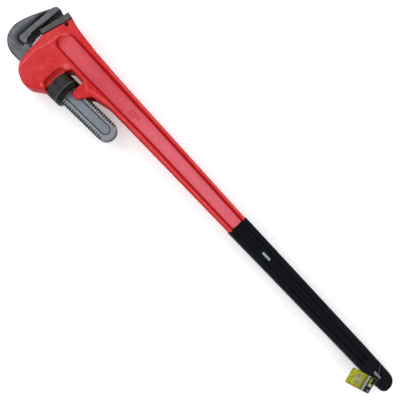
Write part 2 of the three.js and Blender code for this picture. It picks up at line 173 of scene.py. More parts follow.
def outline(points, x, y):
    """Signed distance from a closed outline, negative inside it."""
    x, y = np.broadcast_arrays(x, y)
    nearest = np.full(x.shape, np.inf)
    inside = np.zeros(x.shape, bool)
    for (ax, ay), (bx, by) in zip(points, np.roll(points, -1, axis=0)):
        ex, ey = bx - ax, by - ay
        px, py = x - ax, y - ay
        t = np.clip((px * ex + py * ey) / (ex * ex + ey * ey + 1e-12), 0, 1)
        nearest = np.minimum(nearest, (px - t * ex) ** 2 + (py - t * ey) ** 2)
        if abs(ey) > 1e-9:
            inside ^= ((ay > y) != (by > y)) & (px < ex * py / ey)
    return np.where(inside, -1.0, 1.0) * np.sqrt(nearest)


def both(a, b, radius=0.0):
    """What two fields share, its new edge rounded to a radius."""
    u, v = np.maximum(a + radius, 0), np.maximum(b + radius, 0)
    return np.minimum(np.maximum(a, b) + radius, 0) + np.sqrt(u * u + v * v) - radius


def either(a, b, radius=0.0):
    """Two fields together, the new corner between them filled to a radius."""
    return -both(-a, -b, radius)


def less(a, b, radius=0.0):
    """A field with another cut from it, the new edge rounded to a radius."""
    return both(a, -b, radius)


def ramp(distance, soft):
    """The distance where it is positive, and 0 elsewhere, with a soft start."""
    middle = (distance + soft) ** 2 / (4 * soft)
    return np.where(distance > soft, distance, np.where(distance < -soft, 0, middle))


def ease(t):
    """0 to 1 with level ends."""
    t = np.clip(t, 0, 1)
    return t * t * (3 - 2 * t)


# ---- Meshes ----


def planes(*stretches):
    """Grid planes from (start, step) stretches. The last entry is the end alone."""
    out = []
    for (start, step), following in zip(stretches, stretches[1:]):
        count = max(1, round((following[0] - start) / step))
        out.extend(np.linspace(start, following[0], count + 1)[:-1])
    return np.array([*out, stretches[-1][0]])


def surface_nets(values, grid):
    """Points and quads of the surface where gridded values change sign."""
    inside = values < 0
    count = np.zeros([n - 1 for n in values.shape], np.int8)
    offsets = [(i, j, k) for i in (0, 1) for j in (0, 1) for k in (0, 1)]
    for i, j, k in offsets:
        nx, ny, nz = (n - 1 for n in values.shape)
        count += inside[i : i + nx, j : j + ny, k : k + nz]
    mixed = (count > 0) & (count < 8)
    cells = np.argwhere(mixed)
    number = np.full(mixed.shape, -1, np.int64)
    number[mixed] = np.arange(len(cells))
    total, hits = np.zeros((len(cells), 3)), np.zeros(len(cells))
    quads = []
    for axis in range(3):
        unit = np.eye(3, dtype=int)[axis]
        for offset in (o for o in offsets if o[axis] == 0):
            low = cells + offset
            high = low + unit
            a, b = values[tuple(low.T)], values[tuple(high.T)]
            crossed = (a < 0) != (b < 0)
            t = np.where(crossed, a / np.where(crossed, a - b, 1), 0)
            at = np.stack([grid[k][low[:, k]] for k in range(3)], axis=1)
            at[:, axis] += t * (grid[axis][high[:, axis]] - grid[axis][low[:, axis]])
            total += at * crossed[:, None]
            hits += crossed
        side, other = (axis + 1) % 3, (axis + 2) % 3
        near = np.take(inside, range(values.shape[axis] - 1), axis)
        far = np.take(inside, range(1, values.shape[axis]), axis)
        edges = np.argwhere(near != far)
        for across in (side, other):
            at = edges[:, across]
            edges = edges[(at > 0) & (at < values.shape[across] - 1)]
        step_side, step_other = np.eye(3, dtype=int)[side], np.eye(3, dtype=int)[other]
        around = (edges - step_side - step_other, edges - step_other, edges, edges - step_side)
        ring = np.stack([number[tuple(c.T)] for c in around], axis=1)
        outward = near[tuple(edges.T)]
        quads.append(np.where(outward[:, None], ring, ring[:, ::-1]))
    return total / hits[:, None], np.concatenate(quads)


def new_object(name, mesh):
    """A smooth-shaded object of a mesh, in the scene."""
    piece = bpy.data.objects.new(name, mesh)
    bpy.context.scene.collection.objects.link(piece)
    mesh.polygons.foreach_set("use_smooth", np.ones(len(mesh.polygons), bool))
    return piece


def quad_mesh(name, points, quads):
    """A mesh of points in the row frame and quads."""
    mesh = bpy.data.meshes.new(name)
    mesh.vertices.add(len(points))
    mesh.vertices.foreach_set("co", np.asarray(points, np.float32).ravel())
    mesh.loops.add(4 * len(quads))
    mesh.loops.foreach_set("vertex_index", np.asarray(quads, np.int32).ravel())
    mesh.polygons.add(len(quads))
    mesh.polygons.foreach_set("loop_start", np.arange(0, 4 * len(quads), 4, dtype=np.int32))
    mesh.update(calc_edges=True)
    mesh.validate()
    return mesh


def normals_of(points, quads):
    a, b, c, d = (points[quads[:, k]] for k in range(4))
    face = np.cross(c - a, d - b)
    out = np.zeros_like(points)
    for k in range(4):
        np.add.at(out, quads[:, k], face)
    return out / np.maximum(np.linalg.norm(out, axis=1, keepdims=True), 1e-12)


def carve(name, field, grid, reach, marks=None, place=None):
    """The mesh of a field on a grid, moved to its place. It stores where its edges and hollows are,
    within a reach, which faces are level, and each mark: a named function of x, y and z, which
    takes the place of one of those three where it has its name. The grid has each axis's planes,
    as (start, step) stretches."""
    grid = xs, ys, zs = [planes(*stretches) for stretches in grid]
    values = field(xs[:, None, None], ys[:, None], zs)
    points, quads = surface_nets(values.astype(np.float32), grid)
    placed = points if place is None else place(points)
    piece = new_object(name, quad_mesh(name, row(placed), quads))
    normals = normals_of(points, quads)
    under = field(*(points - reach * normals).T)
    over = field(*(points + reach * normals).T)
    values = {
        "edge": np.clip(1 + under / reach, 0, 1),
        "hollow": np.clip(1 - over / reach, 0, 1),
        "level": ease((np.abs(normals[:, 2]) - 0.8) / 0.18),
    }
    values |= {mark: value(*points.T) for mark, value in (marks or {}).items()}
    for mark, value in values.items():
        attribute = piece.data.attributes.new(mark, "FLOAT", "POINT")
        attribute.data.foreach_set("value", np.asarray(value, np.float32))
    return piece


# ---- Casting: handle and housing ----

CASTING_END = 730  # inside the grip

HEAD_OUTLINE = rounded([
    SEAT_FOOT, (66.8, -70, 80), (73, -113.5, 40), (90, -131.5, 30), (112, -141.4, 30),
    (119, LOW_SIDE), (130, LOW_SIDE, 24), (WINDOW["front"], -115.8, 2),
    (WINDOW["front"], WINDOW["top"], 13), (WINDOW["back"], WINDOW["top"], 3),
    (WINDOW["back"], -78, 11.5), (229, -78, 13), (247, -46, 20), (291, -34.4, 60), (690, -25),
    (CASTING_END, -24), (CASTING_END, 27), (690, 27.3), (400, 30), (260, 30.7), (178, 33),
    (128, 37), (103.4, 39.5), (78.2, 45.5),
])
CHANNEL_OUTLINE = rounded([
    (90, -26.6, 22.5), (200, -26.3), (400, -18.5), (690, -15), (800, -12), (800, 18),
    (690, 18.8), (400, 20.6), (90, 19.5, 22.5),
])
BEVEL_AREA = rounded([
    (40, 60), (40, -150), (94, -150), (86, -123), (81.6, -95.1), (79.6, -70.3, 20),
    (85.6, -50.4), (89.5, -20.6, 30), (91.5, -0.8, 16), (106.4, 19.1, 20), (114, 60),
])
RELIEF_OUTLINE = rounded([
    (178, -35.5), (152, -47, 6), (145.5, -60, 10), (145, -98, 12), (150.5, -110, 5), (168, -115),
    (200, -115), (200, -38.5), (190, -38.5),
])
RELIEF_SLOPE, RELIEF_DEPTH = 1, 6.2  # how wide its wall is for each mm down, and how deep it goes
CHANNEL_SLOPE = 0.16  # how far the channel's wall leans back for each mm up
DRAFT = 0.03  # how far the casting's outer wall leans in for each mm up
SLOT_TOP, SLOT_FOOT = 29.5, -122.5  # over the shank's axis, and in y
PAD_OUTLINE = rounded([(320, -12, 4), (364, -12, 4), (364, 9, 4), (320, 9, 4)])
PAD_HIGH, BAR_HIGH, BAR_RADIUS = 0.5, 1.2, 2
MARK_BARS = [(328, 356, 3.5), (328, 356, -1.5), (328, 344, -6.5)]  # from x to x, at y


def shank_axis(x):
    return SHANK_POINT[1] + math.tan(SHANK_TILT) * (x - SHANK_POINT[0])


HOUSING_SLOT = np.array([
    (40, shank_axis(40) + SLOT_TOP), (40, SLOT_FOOT), (132, SLOT_FOOT), (145, -114.2),
    (163, -113.6), (163, shank_axis(163) + SLOT_TOP),
])
LUG_SLOT = np.array([(200, -40), (200, -100), (280, -100), (280, -41.5), (212, -46)])


def casting_half(x, y):
    """Half the casting's thickness: cheeks that fall to the flanges, with a bevelled front."""
    bevel = 0.1 * ramp(-outline(BEVEL_AREA, x, y), 2.5)
    return HEAD_HALF - (HEAD_HALF - HANDLE_HALF) * ease((x - 215) / 155) - np.minimum(bevel, 3)


def below_face(x, y, z):
    """How far a point is below the casting's own face."""
    return casting_half(x, y) - np.abs(z)


def channel_floor(x, y):
    """Height of the channel's floor, which leaves the housing in a scoop, higher at the top."""
    scoop = 0.01 * np.maximum(122 - x + 0.6 * (y + 3), 0) ** 2
    return WEB_HALF + 9 * (1 - np.clip((x - 130) / 200, 0, 1)) + scoop


def channel_wall(x, y, below):
    return outline(CHANNEL_OUTLINE, x, y) + CHANNEL_SLOPE * below


def relief_wall(x, y, below):
    return outline(RELIEF_OUTLINE, x, y) + RELIEF_SLOPE * below


def from_stretch(x, y, start, end):
    """Distance from a stretch of the x axis."""
    return np.hypot(x - np.clip(x, start, end), y)


def raised_bars(x, y):
    """Distances from the plain bars that stand in for the size cast into the handle's web."""
    return [from_stretch(x, y - level, start, end) - BAR_RADIUS for start, end, level in MARK_BARS]


def casting(x, y, z):
    high = np.abs(z)
    half = casting_half(x, y)
    sides = outline(HEAD_OUTLINE, x, y) + DRAFT * high
    body = both(sides, high - half, 4.5)
    channel = both(channel_wall(x, y, half - high), channel_floor(x, y) - high, 5)
    body = less(body, channel, 3)
    pad = both(outline(PAD_OUTLINE, x, y), high - WEB_HALF - PAD_HIGH, 0.5)
    for bar in raised_bars(x, y):
        pad = either(pad, both(bar, high - WEB_HALF - BAR_HIGH, 0.6), 0.8)
    body = either(body, pad, 1.5)
    wall = relief_wall(x, y, HEAD_HALF - high) / math.hypot(1, RELIEF_SLOPE)
    relief = both(wall, HEAD_HALF - RELIEF_DEPTH - high, 2.5)
    body = less(body, relief, 1.4)
    slot = np.minimum(outline(HOUSING_SLOT, x, y), outline(LUG_SLOT, x, y))
    body = less(body, np.maximum(slot, high - SLOT_HALF), 1.2)
    pocket = np.hypot(x - COIL["x"], z) - COIL["bore"]
    pocket = np.maximum(np.maximum(pocket, COIL["foot"] - y), y - COIL["top"])
    pocket = np.maximum(pocket, sides + POCKET_WALL)
    body = less(body, pocket, 0.5)
    return less(body, np.hypot(x - PIN["x"], y - PIN["y"]) - PIN["bore"], 0.8)


def on_wall_shade(x, y, z):
    """1 along the channel's long walls, and less round its scooped end: where painted shade darkens
    the red.
    """
    from_wall = np.abs(channel_wall(x, y, below_face(x, y, z)) + 0.4)
    top = ease(np.abs(z) - 5)
    along = ease((x - 104 - 0.25 * (y + 26)) / 14)
    lower = ease((-4 - y) / 10) * ease((x - 92) / 8)
    return ease((3.8 - from_wall) / 2.4) * np.maximum(along, lower) * top


def on_ring_highlight(x, y, z):
    """1 along the crease where the cheek's bevelled front begins, and on the relief's rim: where a
    painted highlight lightens the red.
    """
    top = ease(2.6 - below_face(x, y, z) / 2)
    crease = ease(1 - np.abs(outline(BEVEL_AREA, x, y)) / 3.2) * (x > 70) * (y > -128) * (y < 12)
    lip = np.hypot(x - 157, (y + 45) * 0.8)
    rim = ease(1.9 - lip / 6) * ease((y + 54) / 5) + ease(1.5 - np.hypot(x - 150, y + 112) / 3.5)
    return np.maximum(crease * top, np.minimum(rim, 1) * top)


def on_flange_highlight(x, y, z):
    """1 along the middle of the handle's two flanges, where a painted highlight lightens the red.
    """
    off_middle = -outline(HEAD_OUTLINE, x, y) - outline(CHANNEL_OUTLINE, x, y)
    face = ease((2 - below_face(x, y, z)) / 1.5)
    return ease(1.4 - np.abs(off_middle) / 4) * ease((x - 170) / 80) * face


def on_relief_shade(x, y, z):
    """1 on the wall of the relief that the nut turns in, where painted shade darkens the red."""
    below = below_face(x, y, z)
    wall = relief_wall(x, y, below)
    here = (y < -38) & (y > -116) & (x < 178)
    return ease((3 - np.abs(wall + 1)) / 2.4) * ease((below + 0.5) / 1.2) * here


def on_web_highlight(x, y, z):
    """Painted highlight on the channel's floor: how far out on it a point is, more towards the grip
    and less on the bars.
    """
    floor_here = ease(below_face(x, y, z) / 3 - 1) * (outline(CHANNEL_OUTLINE, x, y) < 1)
    bars = np.min(raised_bars(x, y), axis=0)
    paler = ease((x - 95) / 20) * (0.55 + 0.45 * ease((x - 250) / 200))
    return floor_here * paler * (1 - 0.7 * ease(0.6 - bars / 2))


handle_body = carve(
    "handle_casting",
    casting,
    (
        [(59, 1.5), (300, 2), (372, 5), (690, 2.5), (CASTING_END + 2,)],
        [(-144, 1.5), (-42, 1.25), (48,)],
        [(-26.4, 1.32), (26.4,)],
    ),
    4,
    # Marks for painted light: wall and relief carry painted shade; web, ring and flange carry
    # painted highlights.
    {"web": on_web_highlight, "wall": on_wall_shade, "ring": on_ring_highlight, "flange": on_flange_highlight, "relief": on_relief_shade},
)
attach(handle_body, "handle")
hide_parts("handle_body")

# ---- Grip ----

GRIP_END = LENGTH
GRIP_LOWER = -25 + 0.025 * (GRIP_START - 690)
GRIP_OUTLINE = rounded([
    (GRIP_START, 27.3 + COAT), (GRIP_START, GRIP_LOWER - COAT), (850, -21 - COAT),
    (1100, -15.6 - COAT), (GRIP_END, -13.2 - COAT, 14.5 + COAT),
    (GRIP_END, 27.4 + COAT, 23 + COAT), (1100, 28.6 + COAT),
])
GRIP_CHANNEL = rounded([
    (680, -15 + COAT), (1138, -6.5 + COAT, 9), (1138, 16.5 - COAT, 9), (680, 18.8 - COAT),
])


def grip(x, y, z):
    high = np.abs(z)
    half = HANDLE_HALF + COAT
    body = both(outline(GRIP_OUTLINE, x, y), high - half, 5.5)
    body = both(body, GRIP_START - x, 1.3)
    wall = outline(GRIP_CHANNEL, x, y) + 0.3 * (half - high)
    body = less(body, both(wall, WEB_HALF + COAT - high, 7), 5)
    hole = np.hypot(x - HANG_HOLE[0], y - HANG_HOLE[1]) - HANG_HOLE[2] + COAT
    return less(body, hole, 2.5)


grip_piece = carve(
    "grip_vinyl",
    grip,
    (
        [(GRIP_START - 1, 0.8), (GRIP_START + 12, 4), (1120, 1.4), (LENGTH + 1.4,)],
        [(-29, 1.1), (30.5,)],
        [(-18.5, 1), (18.5,)],
    ),
    5,
)
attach(grip_piece, "handle")
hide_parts("grip")

# ---- Hook jaw and its shank ----


# One tooth: how far along its pitch, and what share of the gap's depth.
TOOTH = [(0.13, 0), (0.36, 0.72), (0.58, 1), (0.78, 0.8), (0.93, 0)]


def toothed(start, end, depth):
    """Points of a toothed face, its gaps to the left of the way from start to end."""
    start, end = np.array(start, float), np.array(end, float)
    length = np.linalg.norm(end - start)
    along = (end - start) / length
    inward = np.array((-along[1], along[0])) * depth
    points = [start]
    for tooth in range(int(length / TOOTH_PITCH)):
        at = start + along * TOOTH_PITCH * tooth
        points.extend(at + along * TOOTH_PITCH * t + inward * deep for t, deep in TOOTH)
    return np.array([*points, end])


def beside_shank(x, offset):
    return (x, shank_axis(x) + offset / math.cos(SHANK_TILT))


HOOK_BACK = spline([
    (58, -112.6), (44, -113.4), (24, -107), (7, -90.5), (0, -65), (4, -37.5), (14, -7.5), (27, 24),
], 28)
HOOK_OUTLINE = np.vstack([
    HOOK_BACK,
    rounded([(27, 24), (33, 38.6, 8), (46.2, 38.6)])[1:-1],
    toothed((46.2, 38.6), (45.6, -52), -3),
    rounded([(45.6, -52), (45.8, -70.6, 15), (72, -70.6, 20), (100, -64.5)])[1:],
    [beside_shank(130, 22.5), beside_shank(130, -22.5), beside_shank(100, -24.5)],
])
BLOCK_OUTLINE = rounded([(28, 60), (28, -79, 9), (52, -79, 9), (54, -66), (54, 60)])
CRESCENT_OUTLINE = rounded([
    (29, 26), (19, -8), (14.5, -45, 60), (15, -82, 20), (36, -97, 18), (60, -86, 3), (46, -76),
])
PANEL_START, PANEL_END = 128, 323.5  # centres of the round ends of the shank's panel
PANEL_HALF = 10.8  # from the shank's axis to the groove round its panel
GROOVE_HALF, GROOVE_DEPTH = 1, 1.5
NECK_RADIUS = 24  # of the shank before its thread
CRESCENT_DEPTH = 6


def shank_place(x, y):
    """How far along the shank, and how far to its side, a point is."""
    along, aside = turned(x - SHANK_POINT[0], y - SHANK_POINT[1], -SHANK_TILT)
    return SHANK_POINT[0] + along, aside


def from_panel(along, aside):
    """How far a point is from the middle line of the shank's panel."""
    return from_stretch(along, aside, PANEL_START, PANEL_END)


def thread_radius(along, aside, z, play=0.0):
    """Radius of the right-hand thread at a point's place round the shank."""
    pitch, crest, root = THREAD["pitch"], THREAD["crest"], THREAD["root"]
    turn = np.arctan2(z, aside) / (2 * math.pi)
    t = ((along - THREAD["start"]) / pitch - turn) % 1
    knots = [0, 0.32, 0.48, 0.84, 1]
    return np.interp(t, knots, [crest, crest, root, root, crest]) + play


def hook(x, y, z):
    high = np.abs(z)
    flat = outline(HOOK_OUTLINE, x, y)
    block = outline(BLOCK_OUTLINE, x, y)
    crescent = outline(CRESCENT_OUTLINE, x, y)
    out_of_block, left = np.maximum(block, 0), np.maximum(-crescent, 0)
    share = out_of_block / (out_of_block + left + 1e-6)
    sunk = CRESCENT_DEPTH * np.where(crescent < 0, (1 - share) ** 1.3, 0) * ease((22 - y) / 30)
    body = both(flat, high - JAW_HALF + sunk, 2.2)
    body = either(body, both(both(flat, block, 0.5), high - BLOCK_HALF, 2.2), 1.2)

    along, aside = shank_place(x, y)
    radial = np.hypot(aside, z)
    threaded = (along > THREAD["start"]) & (along < THREAD["end"])
    radius = np.where(threaded, thread_radius(along, aside, z), THREAD["crest"])
    radius = np.where(along < THREAD["start"], NECK_RADIUS, radius)
    bar = 0.85 * (radial - radius)
    bar = np.maximum(bar, 110 - along)
    end = np.hypot(np.maximum(along - 321, 0), aside) - THREAD["crest"]
    bar = both(both(bar, end, 1.5), high - JAW_HALF, 1.3)
    body = either(body, bar, 2)
    groove = np.abs(from_panel(along, aside) - PANEL_HALF) - GROOVE_HALF
    return less(body, both(groove, JAW_HALF - GROOVE_DEPTH - high, 0.4), 0.4)


def on_panel(x, y, z):
    """1 on the plain panel that the groove goes round, 0 off it."""
    return ease((PANEL_HALF + 0.5 - from_panel(*shank_place(x, y))) / 1.4)


def on_thread(x, y, z):
    """1 on the threaded flanks of the shank, beside its level faces."""
    along, aside = shank_place(x, y)
    near_face = ease((np.abs(z) - JAW_HALF + 5) / 4)
    beyond = ease((from_panel(along, aside) - PANEL_HALF - 1) / 2)
    return beyond * ease((along - 120) / 20) * near_face


def in_gap_shade(x, y, z):
    """1 on the toothed face between the jaws and down in the throat under it, which is painted
    black as shade.
    """
    level = ease((np.abs(z) - BLOCK_HALF + 2.2) / 1.5)
    return ease((x - 44.5) / 1.2) * ease((y + 71) / 3) * ease((76 - x) / 6) * (y < 37) * (1 - level)


def on_rim_shade(x, y, z):
    """1 on the rounded edge along the hook's back, where painted shade darkens the steel."""
    return ease(1.5 + outline(HOOK_OUTLINE, x, y) / 2.6) * (x < 75) * (x + 0.2 * y < 38)


def in_crescent(x, y, z):
    """How deep in the hollow behind the tooth block a point is, from 0 to 1: the dark there is
    partly oxide and partly painted shade.
    """
    depth = JAW_HALF - np.abs(z)
    here = (outline(CRESCENT_OUTLINE, x, y) < 2) & (outline(BLOCK_OUTLINE, x, y) > -1)
    return np.where(here, np.clip(depth / CRESCENT_DEPTH, 0, 1), 0)


hook_piece = carve(
    "hook_jaw_forging",
    hook,
    ([(-1.5, 1), (66, 2), (144, 0.81), (350,)], [(-116, 0.98), (41,)], [(-20, 1), (20,)]),
    2.5,
    {"panel": on_panel, "thread": on_thread, "sunk": in_crescent, "gap": in_gap_shade, "rim": on_rim_shade},
)
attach(hook_piece, "hook")
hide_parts("hook_jaw")

# ---- Heel jaw ----


def on_seat(behind, up_seat):
    """A point on the heel jaw's seat: how far behind it, and how far up it from its foot."""
    x, y = turned(behind, up_seat, SEAT_ANGLE - math.pi / 2)
    return (SEAT_FOOT[0] + x, SEAT_FOOT[1] + y)


HEEL_OUTLINE = np.vstack([
    [on_seat(-0.2, 0.8), on_seat(-0.2, SEAT_LENGTH)],
    toothed((60.6, 48), (48.4, -29.3), 2.1),
])


def heel(x, y, z):
    return both(outline(HEEL_OUTLINE, x, y), np.abs(z) - HEEL_HALF, 1.3)


heel_piece = carve(
    "heel_jaw_forging",
    heel,
    ([(47, 0.6), (82,)], [(-35.5, 0.6), (50,)], [(-22, 0.8), (22,)]),
    2.5,
)
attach(heel_piece, "handle")
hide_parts("heel_jaw")

# ---- Adjusting nut ----

KNURLS = 56  # round the nut
KNURL_DEPTH = 0.75
KNURL_PITCH = 5.2  # along the nut


def nut(x, y, z):
    along, aside = shank_place(x, y)
    radial = np.hypot(aside, z)
    turn = np.arctan2(z, aside) * KNURLS
    lean = 2 * math.pi * along / KNURL_PITCH
    cross = np.cos(turn + lean) * np.cos(turn - lean)
    knurl = KNURL_DEPTH * (0.5 - 0.5 * np.abs(cross) ** 0.7 * np.sign(cross))
    blank = radial - (NUT_RADIUS - 0.1) + knurl
    ends = np.maximum(NUT["front"] - along, along - NUT["back"])
    bevel = (radial - NUT_RADIUS + along - NUT["back"] + NUT["bevel"]) / math.sqrt(2)
    body = both(both(blank, bevel, 0.6), ends, NUT["edge"])
    return less(body, 0.85 * (radial - thread_radius(along, aside, z, NUT["play"])), 0.4)


def on_ridge_highlight(x, y, z):
    """1 on the band near the nut's back end where a painted highlight lightens the knurl."""
    along, aside = shank_place(x, y)
    band = ease((along - NUT["back"] + 15) / 1.5) * ease((NUT["back"] - 11.5 - along) / 1.5)
    return band * ease((np.hypot(aside, z) - NUT_RADIUS + 2.6) / 1.6)


def nut_shading_level(x, y, z):
    """How near the top or bottom of the nut's round a point is, from 0 to 1, less at its back;
    stored as the nut's level, so painted shade darkens its round's sides and back.
    """
    along, _ = shank_place(x, y)
    behind_band = ease((along - NUT["back"] + 12) / 2)
    return ease((np.abs(z) / NUT_RADIUS - 0.25) / 0.7) * (1 - 0.8 * behind_band)


def in_thread(x, y, z):
    """1 on the nut's inner faces."""
    along, aside = shank_place(x, y)
    return ease((30 - np.hypot(aside, z)) / 2)


nut_piece = carve(
    "adjusting_nut_knurled",
    nut,
    ([(161, 0.6), (208,)], [(-120.5, 0.6), (-44,)], [(-36.2, 0.6), (36.2,)]),
    1.2,
    # the nut's level holds its painted shade: low on the round's sides and at the back band
    {"ridge": on_ridge_highlight, "thread": in_thread, "level": nut_shading_level},
)
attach(nut_piece, "nut")
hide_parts("adjusting_nut")

# ---- Small pieces that are swept along a route ----


def sweep(name, route, section, across):
    """A section, or one for each point of the route, carried along with its width kept across."""
    tangents = np.gradient(route, axis=0)
    tangents /= np.linalg.norm(tangents, axis=1, keepdims=True)
    side = across - (tangents @ across)[:, None] * tangents
    side /= np.linalg.norm(side, axis=1, keepdims=True)
    over = np.cross(tangents, side)
    sections = np.broadcast_to(section, (len(route), *np.shape(section)[-2:]))
    rings = route[:, None] + sections[..., :1] * side[:, None] + sections[..., 1:] * over[:, None]
    count, size = rings.shape[:2]
    faces = [tuple(range(size))[::-1], tuple(range((count - 1) * size, count * size))]
    for i in range(count - 1):
        for j in range(size):
            a, b = i * size + j, i * size + (j + 1) % size
            faces.append((a, b, b + size, a + size))
    mesh = bpy.data.meshes.new(name)
    mesh.from_pydata(row(rings.reshape(-1, 3)), [], faces)
    mesh.validate()
    piece = new_object(name, mesh)
    mesh.set_sharp_from_angle(angle=math.radians(40))
    return piece


def strap_section(width, thick):
    """A flat strap's section, with rounded edges."""
    w, t = width / 2, thick / 2
    return rounded([(-w, -t, 0.3), (w, -t, 0.3), (w, t, 0.3), (-w, t, 0.3)], math.radians(30))


def on_circle(radius, turns):
    """Points on a circle at the turns given."""
    angle = 2 * math.pi * np.asarray(turns)
    return np.stack([radius * np.cos(angle), radius * np.sin(angle)], axis=1)


# Coil spring, in the housing's pocket, its end turns closed.
COIL_STEPS = 28  # round each turn
spring_low, spring_high = (np.array(corner) * 1000 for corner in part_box("coil_spring"))
COIL_WIRE = (spring_high[0] - spring_low[0]) / 2 - COIL["radius"]
coil_turn = np.linspace(0, COIL["turns"], COIL_STEPS * COIL["turns"] + 1)
coil_x, coil_z = on_circle(COIL["radius"], coil_turn).T
coil_rise = np.interp(coil_turn, [0, 0.8, COIL["turns"] - 0.8, COIL["turns"]], [0, 0.07, 0.93, 1])
coil_foot = spring_low[1] - (cad_low.y * 1000 - LOW_SIDE) + COIL_WIRE
coil_high = spring_high[1] - spring_low[1] - 2 * COIL_WIRE
coil_route = np.stack([COIL["x"] + coil_x, coil_foot + coil_high * coil_rise, coil_z], axis=1)
wire_section = on_circle(COIL_WIRE, np.arange(12) / 12)
coil_piece = sweep("coil_spring_wire", coil_route, wire_section, np.array((0.0, 1, 0)))
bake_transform(coil_piece)
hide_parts("coil_spring")

# Leaf spring, under the shank: its ends narrow a little in plan.
leaf_along = np.linspace(0, 1, 41)
leaf_long = LEAF["to"] - LEAF["from"]
leaf_x = LEAF["from"] + leaf_long * leaf_along
leaf_middle = -(LEAF["near"] + LEAF["thick"] / 2)
leaf_route = np.array([(*beside_shank(x, leaf_middle), 0) for x in leaf_x])
from_end = np.minimum(leaf_along, 1 - leaf_along) * leaf_long
leaf_share = 1 - 0.3 * np.clip(1 - from_end / 4, 0, 1) ** 2
leaf_section = strap_section(2 * LEAF["half"], LEAF["thick"])
leaf_sections = leaf_section * np.stack([leaf_share, np.ones_like(leaf_share)], axis=1)[:, None]
leaf_piece = sweep("leaf_spring_strip", leaf_route, leaf_sections, np.array((0.0, 0, 1)))
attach(leaf_piece, "shank_guide")
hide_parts("leaf_spring")


def slit_ring(outer, inner):
    """The section of a rolled spring pin."""
    out, back = (math.asin(PIN["slit"] / 2 / r) / (2 * math.pi) for r in (outer, inner))
    rim = on_circle(outer, np.linspace(out, 1 - out, 33))
    return np.vstack([rim, on_circle(inner, np.linspace(1 - back, back, 25))])


# Heel jaw's pin: a rolled spring pin, chamfered at both ends.
PIN_CHAMFER = 0.7
pin_stations = [
    (side * (PIN["half"] - 2 * PIN_CHAMFER * inner), PIN_CHAMFER * (1 - inner))
    for side, inner in ((-1, 0), (-1, 1), (1, 1), (1, 0))
]
pin_route = np.array([(PIN["x"], PIN["y"], z) for z, _ in pin_stations])
pin_sections = np.array([slit_ring(PIN["radius"] - cut, PIN["hole"]) for _, cut in pin_stations])
pin_piece = sweep("heel_jaw_spring_pin", pin_route, pin_sections, np.array((1.0, 0, 0)))
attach(pin_piece, "handle")
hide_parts("heel_jaw_pin")

# ---- Cable tie and tag ----

LOOP_SIDE = [
    (3, 20), (-1, 22), (-6, 22.4), (-14, 21.6), (-20.5, 21), (-23.9, 18.6), (-24.8, 14.4), (-25, 9),
    (-23, -1), (-19.5, -11), (-17, -17.6), (-13, -19.8), (-7, -20), (-3.2, -19.9), (-1.8, -17.6),
    (-1.8, -10), (-1.8, 8), (-1.2, 15), (2.6, 19.6),
]
TAIL_POINTS = [(1176, 4, 20), (1169, 11, 20.4), (1161, 21, 19.8), (1155, 28.4, 20.2)]


def ratchet(route, width, thick):
    """A strap's sections along a route, with the small teeth of a cable tie on one side."""
    run = np.concatenate([[0], np.cumsum(np.linalg.norm(np.diff(route, axis=0), axis=1))])
    section = strap_section(width, thick)
    bite = 0.22 * ((run / TIE["tooth"]) % 1)
    low_side = (section[:, 1] < 0) & (np.abs(section[:, 0]) < width / 2 - 0.1)
    sections = np.repeat(section[None], len(route), axis=0)
    sections[..., 1] += bite[:, None] * low_side
    return sections


loop_route = spline([(TAG_HOLE[0], y, z) for y, z in LOOP_SIDE], 260)
loop_sections = ratchet(loop_route, TIE["width"], TIE["thick"])
loop_piece = sweep("tie_loop", loop_route, loop_sections, np.array((1.0, 0, 0)))
tail_route = spline(TAIL_POINTS, 120)
tail_sections = ratchet(tail_route, TIE["tail_width"], TIE["thick"])
tail_piece = sweep("tie_tail", tail_route, tail_sections, np.array((1.0, 1, 0)))


def tie_head(x, y, z):
    """The tie's locking head: a rounded block with a slot along its top and a mouth at its end."""
    long, wide, high = (TIE[key] / 2 for key in ("head_long", "head_wide", "head_high"))
    block = both(np.abs(x) - long, np.abs(y) - wide, 1.1)
    block = both(block, np.abs(z) - high, 0.8)
    slot = both(np.maximum(np.abs(x) - long + 3.5, np.abs(y) - 0.7), high - 0.7 - z, 0.2)
    mouth = np.maximum(np.maximum(np.abs(y) - 1.6, np.abs(z) - 0.8), long - 2.2 - x)
    return less(less(block, slot, 0.3), mouth, 0.3)


head_piece = carve(
    "tie_head",
    tie_head,
    ([(-10.6, 0.33), (10.6,)], [(-3.2, 0.3), (3.2,)], [(-2.9, 0.3), (2.9,)]),
    0.8,
    place=lambda points: points + (TIE["head_x"], TIE["head_y"], TIE["head_z"]),
)
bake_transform(loop_piece)
for piece in (tail_piece, head_piece):
    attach(piece, "handle")
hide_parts("tag_tie")


def card_curl(x, y):
    """How far the card's middle stands off its plane: it has lain under other things."""
    run = np.minimum(x, 0) / TAG["long"]
    return -1.1 * run**2 + 0.5 * run * np.sin(y / 9)


def card_outline(x, y):
    far = TAG["inset"] - TAG["long"]
    half, corner = TAG["short"] / 2, TAG["corner"]
    rim = rounded([
        (far, -half, corner), (TAG["inset"], -half, corner), (TAG["inset"], half, corner),
        (far, half, corner),
    ])
    return less(outline(rim, x, y), np.hypot(x, y) - TAG["hole"])


def card(x, y, z):
    return both(card_outline(x, y), np.abs(z - card_curl(x, y)) - TAG["thick"] / 2, 0.12)


def card_place(points):
    """The tag hangs from its hole, turned in the wrench's plane and leant on its long side."""
    x, y, z = points.T
    y, z = turned(y, z, TAG_LEAN)
    return np.stack([*turned(x, y, TAG_TURN), z], axis=1) + TAG_HOLE


